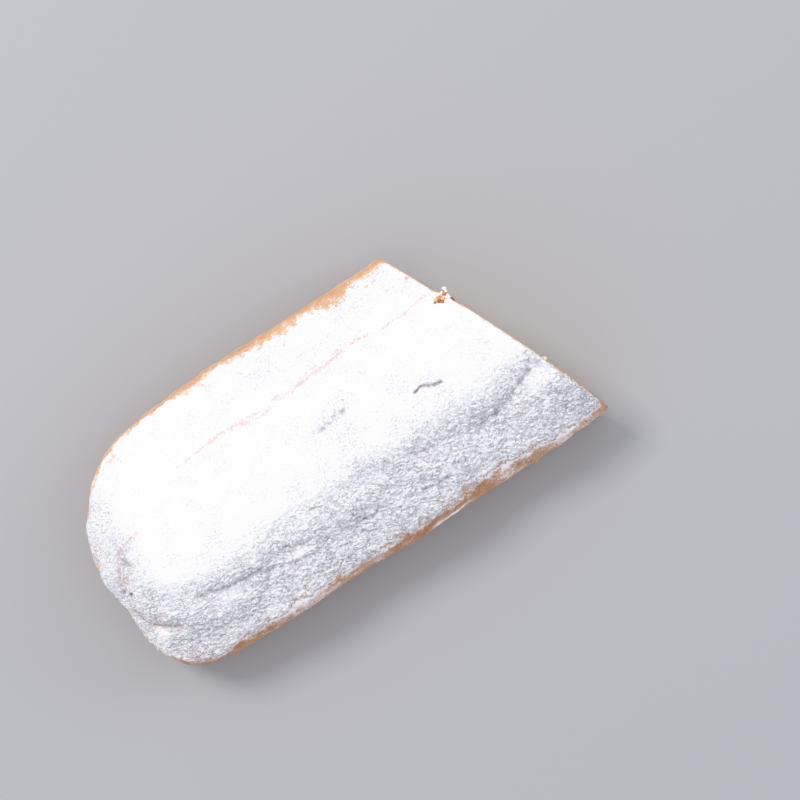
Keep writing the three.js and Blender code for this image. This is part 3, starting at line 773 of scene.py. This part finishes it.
def coat_points():
    """Points under the coat with their outward directions, its outer points and its material's fields."""
    points, direction = coat_grid()
    x, y, z = np.moveaxis(points, -1, 0)
    cover = coat_cover(points)
    flank, nose = smoothstep(-y, *FLANK), smoothstep(-x, *NOSE)
    rough = roughness(x, y, flank, nose)
    drawn = drawn_out(points)
    # the creases are cut into the coat's relief, and the same share is painted into its colour as shade
    cleft_and_painted_shade = clefts(drawn) * np.clip(0.1 + 0.9 * flank + 0.4 * nose, 0, 1) * np.clip(1.6 * rough, 0, 1)
    soft = 0.35 * noise(points, 8, 13) + 0.4 * noise(drawn, 2.3, 14) + 0.85 * noise(drawn, 1.15, 19)
    grain = rough * soft - 0.5 * cleft_and_painted_shade
    dents = local_relief(points)

    # full over the loaf, nothing at the lower edge, crumbled away at the cut's edge
    full = COAT_AT_EDGE + GAP + (COAT_ON_CROWN - COAT_AT_EDGE) * smoothstep(z, *COAT_THINS)
    to_cut = cut_x(y, z) - x
    kept = smoothstep(to_cut - noise(points, 3, 26) - 0.5 * noise(points, 1.1, 27), 0.35, 1.3)
    grows = smoothstep(cover, -2.2, 3.4 + 3.2 * nose) * (0.12 + 0.88 * kept)
    thickness = -COAT_UNDER + (full + COAT_UNDER) * grows + smoothstep(cover, 0, 5) * kept * grain
    outer = points + direction * (cad_relief(points) + dents + thickness)[..., None]
    back = 0.35 * (1 - kept[-1]) + COAT_SET_BACK * (1 - smoothstep(cover[-1], -2.4, -0.8))
    near = outer[-len(NEAR_CUT):]
    near[..., 0] = np.minimum(near[..., 0], cut_at(near) - back)
    outer[-1, :, 0] = cut_at(outer[-1]) - back

    chip = spotted(0, x, y, [(*CHIP, 1)])
    # painted shade, speckled, in the dents and in the places listed
    dent_shade_speckles = spotted(0.6 * smoothstep(-dents, 0.12, 0.8), x, y, SPECKLED_SHADE)
    broken = smoothstep(noise(points, 1.5, 39), -0.7, 0)
    # painted shade along the crack
    crack_shade = 0.7 * broken * bell(distance_to_line(x, y, SHADED_CRACK), 0.55)
    return points, direction, outer, {
        "thin": np.maximum(thinness(points, cover, nose), 1.5 * chip),
        "cleft_and_painted_shade": np.clip(cleft_and_painted_shade + 2.3 * dent_shade_speckles * smoothstep(noise(points, 1.1, 38), -0.3, 0.4), 0, 1.6),
        "rough": rough,
        "low": np.maximum(1 - smoothstep(cover, 3.5, 8), chip),
        "shade": spotted(crack_shade, x, y, SHADED, broken),
    }


def make_coat(sugar):
    points, direction, outer, fields = coat_points()
    rows, columns = outer.shape[:2]
    edge = (points + direction * (cad_relief(points) - COAT_RIM["under"])[..., None])[-1]
    edge[:, 0] = np.minimum(cut_at(edge) - COAT_RIM["back"], outer[-1, :, 0])
    shared = np.vstack([outer.reshape(-1, 3), edge])
    values = {key: np.r_[field.ravel(), field[-1]] for key, field in fields.items()}
    return new_mesh("icing_coat", shared, grid_faces(rows + 1, columns), sugar, **values)


# ---- the cut face

ALONG_CUT = np.array([math.sin(CUT_SKEW), -math.cos(CUT_SKEW), 0])
LEVEL = np.array([math.cos(CUT_SKEW), math.sin(CUT_SKEW), 0])
UPRIGHT = np.array([0, 0, 1])
UP_CUT = math.sin(CUT_LEAN) * LEVEL + math.cos(CUT_LEAN) * UPRIGHT
OUT_OF_CUT = math.cos(CUT_LEAN) * LEVEL - math.sin(CUT_LEAN) * UPRIGHT
CUT_ORIGIN = np.array([CUT_LIP_X, HALF_WIDTH, 0])
CRUMB_STEP = 0.52
CRUMB_RIM = np.array([0, 0.03, 0.1, 0.22, 0.4, 0.65, 1, 1.4, 1.9])  # outer columns' distances to the side
CRUMB_ROWS = 114
CRUMB_GRAINS = [(0.3, 6, 20), (0.22, 2.3, 21), (0.16, 1.2, 22)]
SKIRT = {"middle": 25, "across": 0.97, "up": 0.94, "out": -1.6}  # drawn in to the middle and set back
PORES, PORE_REACH = 1500, 3
PORE_SEED = 21
SPECKS, SPECK_REACH = 420, 4.5  # they thin out away from the crust
HIGHEST_PORE = 58
CRUMB_TONE, ZONE_TONE, BROWN_TONE, SPECK_TONE = (
    np.array(srgb(*c)[:3]) for c in ((255, 228, 174), (244, 180, 102), (190, 118, 60), (122, 70, 40)))


def on_face(across, up, out):
    return CUT_ORIGIN + across[..., None] * ALONG_CUT + up[..., None] * UP_CUT + out[..., None] * OUT_OF_CUT


def face_outline(row, columns):
    """The crust's last row as across and up on the face, and its upper and lower runs from lip to fold."""
    up = row[:, 2] / math.cos(CUT_LEAN)
    leaning = up * math.sin(CUT_LEAN) * math.sin(CUT_SKEW)
    across = (HALF_WIDTH + leaning - row[:, 1]) / math.cos(CUT_SKEW)
    outline = np.stack([across, up], axis=1)
    left, right = int(across[:columns].argmax()), int(across[:columns].argmin())
    upper, lower = outline[left:right + 1][::-1], np.vstack([outline[right:], outline[:left + 1]])
    return outline, upper[np.argsort(upper[:, 0])].T, lower[np.argsort(lower[:, 0])].T


def fruit_share(fruit, s, z):
    """Distance from a fruit's middle on the face, as a share of its size: 1 on its outline."""
    kind, middle, high, length, thickness, rise = fruit
    boxy = FORM[kind][0]
    a, b = turned(s - middle, z - high, math.radians(rise))
    return (np.abs(a / (length / 2)) ** boxy + np.abs(b / (thickness / 2)) ** boxy) ** (1 / boxy)


def crumb_relief(s, z, start, stop, outline):
    """How far the crumb stands out, with its pores, and where it has brown specks."""
    rng = np.random.default_rng(PORE_SEED)
    out = noises(np.stack([s, z, 0 * s], axis=-1), CRUMB_GRAINS)
    for _ in range(PORES):
        pore_s, pore_z = rng.uniform(start + 2, stop - 2), rng.uniform(2, HIGHEST_PORE)
        size = min(0.42 * math.exp(rng.normal(0.25, 0.5)), 2.1)
        slim, turn, deep = rng.uniform(0.4, 0.9), rng.normal(0, 0.6), rng.uniform(0.4, 1)
        near = (np.abs(s - pore_s) < PORE_REACH) & (np.abs(z - pore_z) < PORE_REACH)
        a, b = turned(s[near] - pore_s, z[near] - pore_z, turn)
        b = b / slim
        out[near] -= size * deep * np.maximum(0, 1 - (a * a + b * b) / size ** 2) ** 0.7
    specks = np.zeros(s.shape)
    for _ in range(SPECKS):
        speck_s, speck_z = rng.uniform(start + 1.5, stop - 1.5), rng.uniform(1.5, HIGHEST_PORE)
        to_crust = np.hypot(outline[:, 0] - speck_s, outline[:, 1] - speck_z).min()
        size = rng.uniform(0.35, 0.9)
        if rng.random() > math.exp(-to_crust / SPECK_REACH):
            continue
        speck = bell(np.hypot(s - speck_s, (z - speck_z) * 1.3), size)
        specks = np.maximum(specks, speck)
        out -= 0.7 * speck
    return out, specks


def crumb_tone(s, z, depth, side, out, stain, specks):
    """The crumb's colour: browner near the crust, round fruit and in specks, and darkened deep in pores as
    painted shade.
    """
    place = np.stack([s, z, 0 * s], axis=-1)
    # the baked zone is thin under the crown and thick at the sides and the foot
    reach = 2.6 + 3.4 * (1 - smoothstep(z, 3, 16)) + 2.6 * (1 - smoothstep(side, 2, 9))
    reach = reach * (1 + 0.8 * noise(place, 6, 23))
    shade = 1 - smoothstep(depth, 0.25 * reach, 1.5 * reach)
    shade = np.clip(shade + 0.55 * shade * noise(place, 2, 24), 0, 1)[..., None]
    edge = 0.75 * (1 - smoothstep(depth, 0.2, 0.42 * reach + 0.8))[..., None]
    # painted shade: darker the deeper the crumb lies in a pore
    deep = np.clip(-out / 1.6, 0, 1)[..., None]
    tone = CRUMB_TONE * (1 - shade) + ZONE_TONE * shade
    tone = tone * (1 - edge) + BROWN_TONE * edge
    tone = tone * (1 - 0.25 * stain[..., None] * np.array([0.1, 0.6, 1]))
    tone = tone * (1 - 0.5 * deep * np.array([0.4, 0.7, 1]))
    return tone * (1 - specks[..., None] * (1 - SPECK_TONE))


def make_crumb(row, columns, dough):
    """The face, a height field on a grid that follows the section's outline, and that outline's upper run."""
    outline, upper, lower = face_outline(row, columns)
    start, stop = upper[0].min(), upper[0].max()
    past_rim = CRUMB_RIM[-1] + 0.5
    even = np.arange(start + past_rim, stop - past_rim, CRUMB_STEP)
    s = np.r_[start + CRUMB_RIM, even, stop - CRUMB_RIM[::-1]]
    low, high = np.interp(s, *lower), np.interp(s, *upper)
    z = low + (high - low) * np.linspace(0, 1, CRUMB_ROWS)[:, None]
    s = np.repeat(s[None, :], CRUMB_ROWS, axis=0)
    depth = np.full(s.shape, np.inf)
    for across, up in outline[::2]:
        depth = np.minimum(depth, np.hypot(s - across, z - up))

    out, specks = crumb_relief(s, z, start, stop, outline)
    stain = np.zeros(s.shape)
    for fruit in FRUIT:
        r = fruit_share(fruit, s, z)
        out = out - 1.9 * (1 - smoothstep(r, 0.6, 0.88)) - 0.2 * bell(r - 1.05, 0.12)
        stain = np.maximum(stain, bell(np.maximum(r - 1, 0), 0.35))
    out = out * smoothstep(depth, 0, 1.2)
    tone = crumb_tone(s, z, depth, np.minimum(s - start, stop - s), out, stain, specks).reshape(-1, 3)

    # a skirt runs from the face's border back into the loaf
    rows, cols = s.shape
    middle_s, middle_z = (start + stop) / 2, SKIRT["middle"]
    inner_s = middle_s + SKIRT["across"] * (s - middle_s)
    inner_z = middle_z + SKIRT["up"] * (z - middle_z)
    skirt_in = on_face(inner_s, inner_z, np.full(s.shape, SKIRT["out"])).reshape(-1, 3)
    border = np.r_[np.arange(cols), cols - 1 + cols * np.arange(1, rows),
                   (rows - 1) * cols + np.arange(cols - 2, -1, -1), cols * np.arange(rows - 2, 0, -1)]
    around = len(border)
    k = np.arange(around)
    after = (k + 1) % around
    behind = rows * cols
    skirt = np.stack([border, behind + k, behind + after, border[after]], axis=1)
    points = np.vstack([on_face(s, z, out).reshape(-1, 3), skirt_in[border]])
    faces = np.vstack([grid_faces(rows, cols)[:, ::-1], skirt])
    return new_mesh("crumb_face", points, faces, dough, tone=np.vstack([tone, tone[border]])), upper


# ---- the fruit

# which look each piece has, in FRUIT's order
LOOKS = (["raisin"] * 5 + ["sultana_pale"] * 3 + ["sultana"] * 2 + ["sultana_red"] * 3
         + ["sultana", "sultana_pale"] + ["orange_peel"] * 4 + ["lemon_peel"] * 4 + ["almond"] * 2)
# kind: depth of its wrinkles, unevenness of its outline, how far it stands out of the face
FRUIT_SKIN = {"raisin": (0.55, 0.34, 0.55), "sultana": (0.34, 0.36, 0.5), "orange_peel": (0.24, 0.32, 0.35),
              "lemon_peel": (0.14, 0.24, 0.35), "almond": (0.05, 0.1, 0.12)}
FRUIT_SIDES, FRUIT_RINGS = 56, 30


def make_fruit(fruit, paint, name, index, upper):
    kind, middle, high, length, thickness, rise = fruit
    boxy, point = FORM[kind]
    wrinkle, uneven, cap = FRUIT_SKIN[kind]
    unit = ball(FRUIT_SIDES, FRUIT_RINGS)
    unit = np.sign(unit) * np.abs(unit) ** (2 / boxy)
    unit[:, 1:] *= 1 - point * unit[:, :1] * unit[:, :1]
    local = unit * np.array([length / 2, thickness / 2, thickness * FRUIT_DEPTH])
    shift = 40 * (index + 1)  # to a place of its own in the noise
    side = np.hypot(unit[:, 0], unit[:, 1]) + 1e-6
    facing = np.stack([unit[:, 0] / side, unit[:, 1] / side, np.full(len(unit), 0.9 * index)], axis=-1)
    outline = 1.04 + uneven * (noise(facing, 1.3, 34) + 0.3 * noise(facing, 0.6, 35))
    bend = 1.3 * uneven * noise(np.array([[0.3, 0.4, 1.7 * index]]), 1, 36)[0]
    local[:, :2] *= outline[:, None]
    local[:, 1] += bend * thickness * (unit[:, 0] ** 2 - 0.4)
    swell = 1 + 0.16 * noise(local + shift, 5, 30)
    fold = np.abs(noise(local + shift, 2.4, 31)) + 0.5 * np.abs(noise(local + shift, 1.2, 32))
    rim = smoothstep(side, 0.72, 1)
    local = local * swell[:, None] + unit * ((fold - 0.25) * wrinkle * (1.6 - 1.1 * rim))[:, None]

    # the knife's face: nearly flat, a little proud, with its own slight relief
    out = local[:, 2] - FRUIT_SUNK * thickness
    knife = cap + wrinkle * 0.9 * (np.abs(noise(local + shift, 2, 33)) * 2 - 0.4)
    out = np.where(out > knife, knife + 0.12 * (out - knife), out)
    along, beside = turned(local[:, 0], local[:, 1], -math.radians(rise))
    across = middle + along
    up = np.minimum(high + beside, np.interp(across, *upper) - FRUIT_UNDER_CRUST)
    faces = closed_faces(FRUIT_RINGS - 1, FRUIT_SIDES)
    return new_mesh(name + "_dressed", on_face(across, up, out), faces, paint, rim=rim)


# ---- crumbs and lumps of sugar

# place in plan, radius: lumps of sugar by the crumbs at the cut edge of the crease
SUGAR_LUMPS = [(90, 30.5, 0.9), (87.9, 29.4, 0.75), (90, 29, 0.7), (89.2, 26.2, 1.15),
               (87.4, 24.9, 0.9), (82.2, 28.5, 0.7), (84, 29.4, 0.8), (85.6, 29.6, 0.6),
               (86.4, 26.9, 0.55), (81.4, 27.2, 0.5)]
GOLD, ORANGE, BROWN, CREAM = (238, 202, 150), (216, 150, 90), (172, 118, 82), (246, 220, 178)
# place in plan, radius, tone: crumbs of the cut dough that the knife has left there and lower down
CRUMBS = [
    (85.5, 27.8, 1.3, ORANGE), (83.7, 28, 1.1, GOLD), (87, 28.3, 1, GOLD), (88.8, 28.4, 1, ORANGE),
    (84.4, 26.7, 0.9, BROWN), (85.8, 25.7, 0.9, BROWN), (86.9, 26.6, 1.1, GOLD), (88.1, 27.3, 0.9, GOLD),
    (87.1, 25.3, 0.7, BROWN), (89.9, 24.3, 1.1, BROWN), (90.4, 23.6, 0.8, BROWN), (82.6, 27.4, 0.6, BROWN),
    (110.6, -23.6, 0.9, CREAM), (110, -22.6, 0.6, CREAM), (101.4, -3, 0.5, GOLD),
]
BIT_SIDES, BIT_RINGS = 20, 13
CRUMB_SEED, LUMP_SEED = 60, 20


def bit(place, radii, seed):
    """Points of a small uneven lump."""
    unit = np.roll(ball(BIT_SIDES, BIT_RINGS), -1, axis=1)
    uneven = 1 + 0.75 * noise(unit + 9.1 * seed, 0.8, 40) + 0.45 * noise(unit + 9.1 * seed, 0.35, 41)
    return unit * uneven[:, None] * np.array(radii) + np.array(place)


def make_bits(name, bits, paint, **attributes):
    """One piece of many bits, each a list of points."""
    one = closed_faces(BIT_RINGS - 1, BIT_SIDES)
    faces = np.vstack([one + i * len(points) for i, points in enumerate(bits)])
    return new_mesh(name, np.vstack(bits), faces, paint, **attributes)


def make_crumbs_and_lumps(coat, dough, sugar):
    """The crumbs and lumps of sugar, which lie on the coat and are pressed in a little."""
    surface = np.empty(3 * len(coat.data.vertices))
    coat.data.vertices.foreach_get("co", surface)
    surface = surface.reshape(-1, 3) / MM

    def height(x, y):
        return surface[np.hypot(surface[:, 0] - x, surface[:, 1] - y).argmin(), 2]

    crumbs = [bit((x, y, height(x, y) + 0.3 * r), (r, 0.9 * r, 0.8 * r), CRUMB_SEED + i)
              for i, (x, y, r, _) in enumerate(CRUMBS)]
    tones = [np.repeat([srgb(*tone)[:3]], len(crumbs[0]), axis=0) for *_, tone in CRUMBS]
    lumps = [bit((x, y, height(x, y) + 0.5 * r), (r, r, 0.9 * r), LUMP_SEED + i)
             for i, (x, y, r) in enumerate(SUGAR_LUMPS)]
    return (make_bits("dough_crumbs", crumbs, dough, tone=np.vstack(tones)),
            make_bits("sugar_lumps", lumps, sugar))


# ---- build

sugar, dough = sugar_material(), crumb_material()
crust, last_row, last_columns = make_crust()
coat = make_coat(sugar)
face, upper_run = make_crumb(last_row, last_columns, dough)
crumbs, lumps = make_crumbs_and_lumps(coat, dough, sugar)
for piece, slot in ((crust, "loaf"), (coat, "icing_sugar"), (face, "loaf"),
                    (crumbs, "loaf"), (lumps, "icing_sugar")):
    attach(piece, "root")
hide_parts("loaf")
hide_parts("icing_sugar")

paints = {look: fruit_material(look) for look in FRUIT_LOOK}
counted = {}
for index, (fruit, look) in enumerate(zip(FRUIT, LOOKS)):
    kind = fruit[0]
    counted[kind] = counted.get(kind, 0) + 1
    node = f"{kind}_{counted[kind]:02d}"
    piece = make_fruit(fruit, paints[look], node, index, upper_run)
    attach(piece, "root")
    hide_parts(node)

# ---- floor, light, camera, in metres

FLOOR_REACH = 3
FLOOR_TONE = srgb(160, 160, 162)
LIT_PLACE = (0, 0, 0.03)
# place, size, power, colour
LIGHTS = {"key": ((-0.5, 1.3, 1.7), 0.7, 31, (1, 0.985, 0.97)),
          "fill": ((1.7, -0.25, 0.75), 1.2, 8, (0.95, 0.97, 1))}
SKY = {"Color": (0.9, 0.91, 1, 1), "Strength": 0.96}
CAMERA_PLACE = (0.0432, -0.001, 0.995)
CAMERA_TURN = math.radians(-34.5)
LENS, SENSOR = 90, 36  # in millimetres
# light and what a camera makes of it, in shares of white; up to the first nothing changes
SHOULDER = [(0.8, 0.8), (0.92, 0.9), (1.05, 0.962), (1.2, 0.985)]
SHOULDER_TOP = (1.4, 0.998)


def make_floor():
    reach = FLOOR_REACH / MM
    corners = reach * np.array([(-1, -1, 0), (1, -1, 0), (1, 1, 0), (-1, 1, 0)])
    paint = Paint("floor").surface(Base_Color=FLOOR_TONE, Roughness=0.9)
    floor = new_mesh("floor", corners, [[0, 1, 2, 3]], paint, smooth=False)


def area_light(name, place, size, power, colour):
    lamp = bpy.data.lights.new(name, "AREA")
    lamp.shape = "DISK"
    lamp.size = size
    lamp.energy = power
    lamp.color = colour
    holder = placed(name, lamp, place)
    holder.rotation_euler = (Vector(LIT_PLACE) - Vector(place)).to_track_quat("-Z", "Y").to_euler()


def make_sky():
    world = bpy.data.worlds.new("studio")
    bpy.context.scene.world = world
    world.use_nodes = True
    for name, value in SKY.items():
        world.node_tree.nodes["Background"].inputs[name].default_value = value


def make_camera():
    camera = placed("camera", bpy.data.cameras.new("camera"), CAMERA_PLACE)
    camera.rotation_euler = (0, 0, CAMERA_TURN)
    camera.data.lens = LENS
    camera.data.sensor_width = SENSOR
    bpy.context.scene.camera = camera


def soften_highlights(view):
    top, white = SHOULDER_TOP
    view.use_curve_mapping = True
    mapping = view.curve_mapping
    mapping.white_level = (top, top, top)
    curve = mapping.curves[3]
    curve.points[1].location = (1, white)
    for light, shown in SHOULDER:
        curve.points.new(light / top, shown)
    for point in curve.points[:2]:
        point.handle_type = "VECTOR"
    mapping.update()


make_floor()
for name, settings in LIGHTS.items():
    area_light(name, *settings)
make_sky()
make_camera()
view = bpy.context.scene.view_settings
view.view_transform = "Standard"
view.look = "None"
soften_highlights(view)
